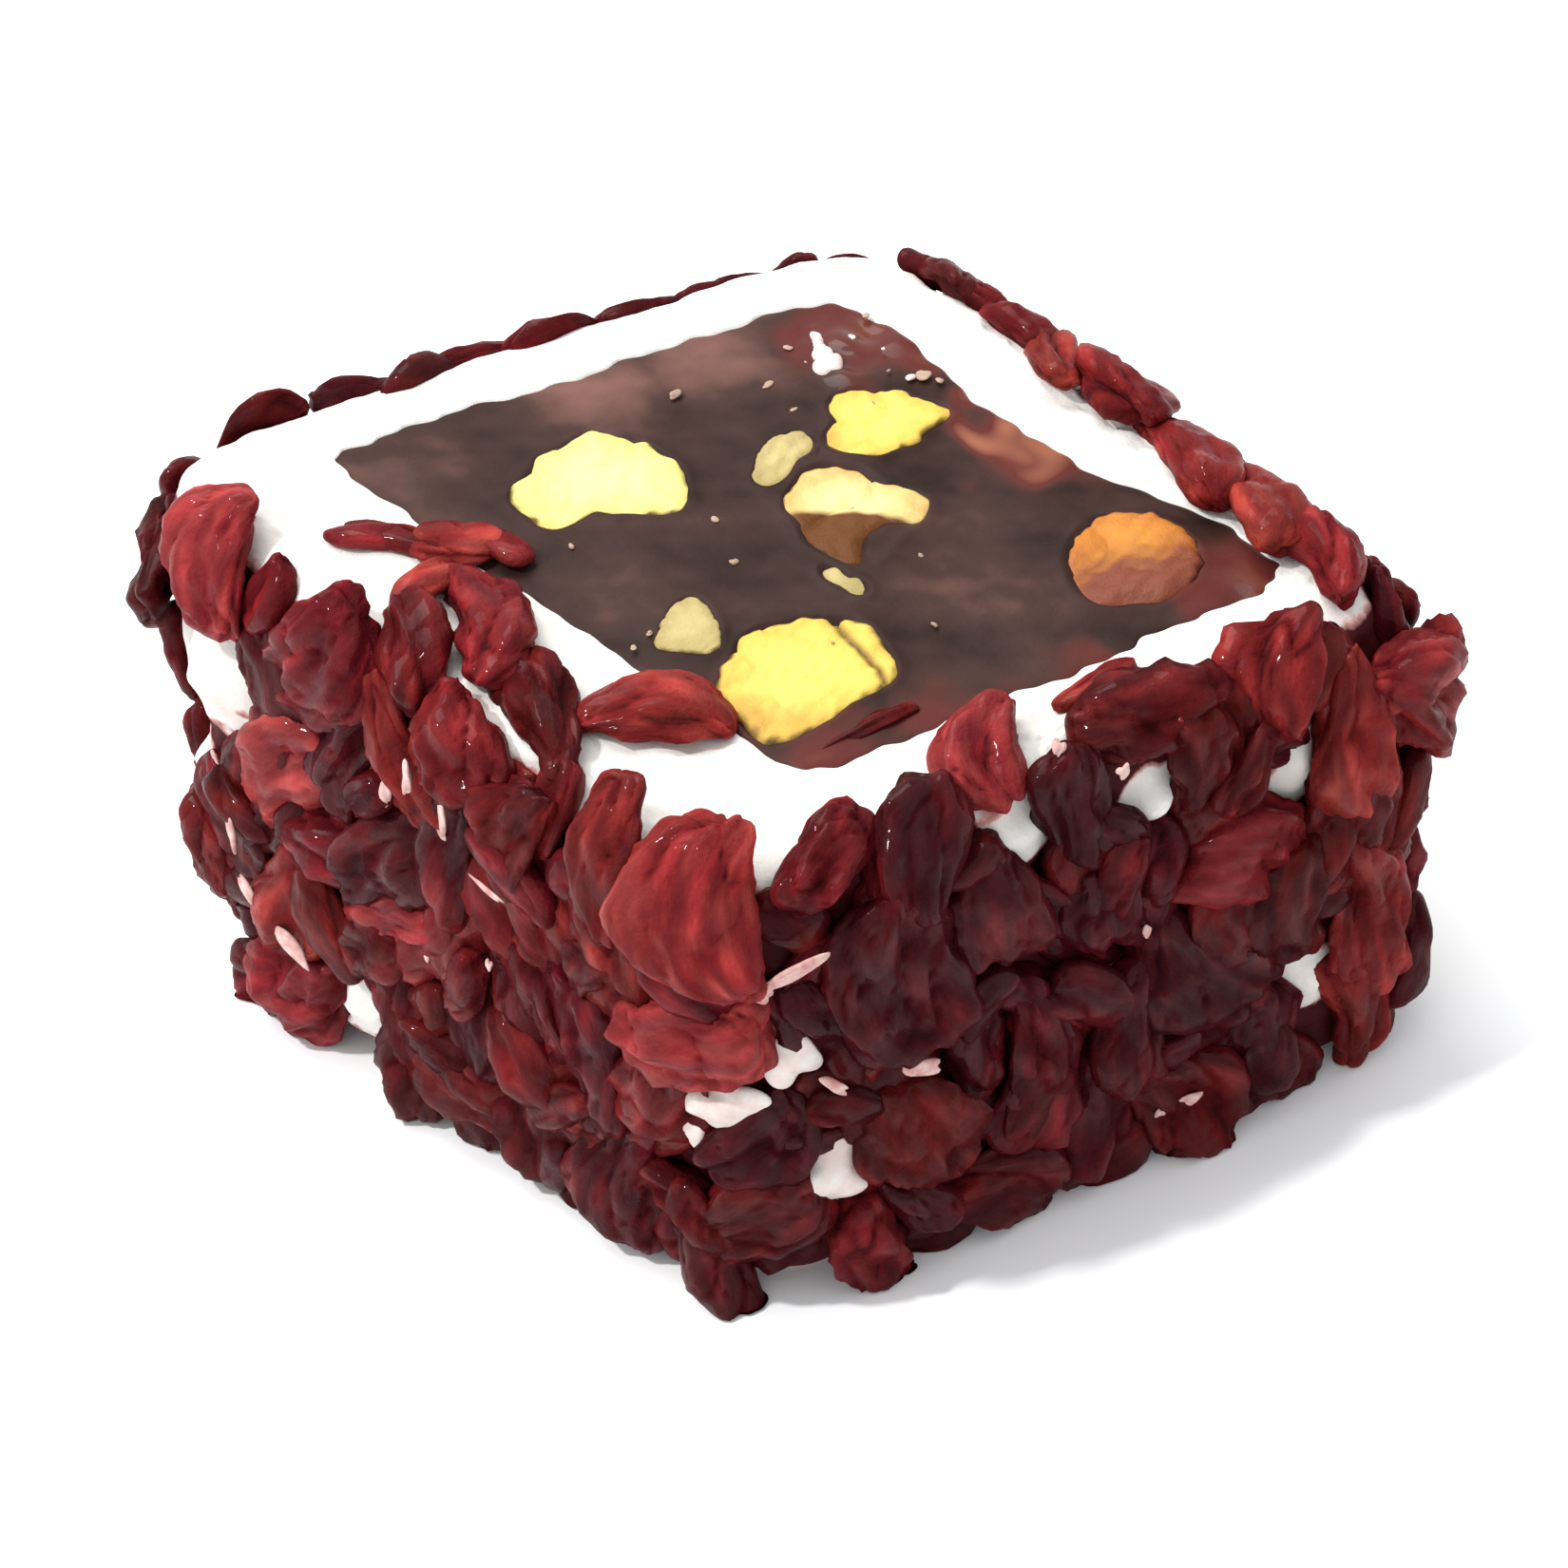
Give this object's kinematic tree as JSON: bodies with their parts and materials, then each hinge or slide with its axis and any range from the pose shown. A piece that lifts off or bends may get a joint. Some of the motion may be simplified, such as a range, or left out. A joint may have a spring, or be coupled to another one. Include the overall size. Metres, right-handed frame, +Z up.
{
  "type": "turkish delight",
  "caption": "Thick slanted slice of rolled turkish delight: dark fruit jelly with set-in pistachios, white nougat round it, coated in dried barberries.",
  "frame": {"origin": "middle of the bounding box, on the floor under the slice", "axes": "+Z up out of the upper cut face, -Y towards the front side with the redder coat, +X towards the right side"},
  "size_m": [0.0496, 0.048, 0.028],
  "materials": {
    "berry_coat": "white nougat under dried dark red berries, leathery gloss",
    "jelly": "dark brown fruit jelly, smeared satin cut face",
    "pistachio": "pale yellow cut nut, dry"
  },
  "bodies": {
    "root": {"nougat_wrap": "berry_coat", "jelly_core": "jelly", "pistachio_left": "pistachio", "pistachio_rear": "pistachio", "pistachio_rear_sliver": "pistachio", "pistachio_middle": "pistachio", "pistachio_middle_sliver": "pistachio", "pistachio_right": "pistachio", "pistachio_front_small": "pistachio", "pistachio_front": "pistachio", "pistachio_base_left": "pistachio", "pistachio_base_right": "pistachio", "pistachio_base_rear": "pistachio", "pistachio_base_front": "pistachio"}
  },
  "joints": []
}
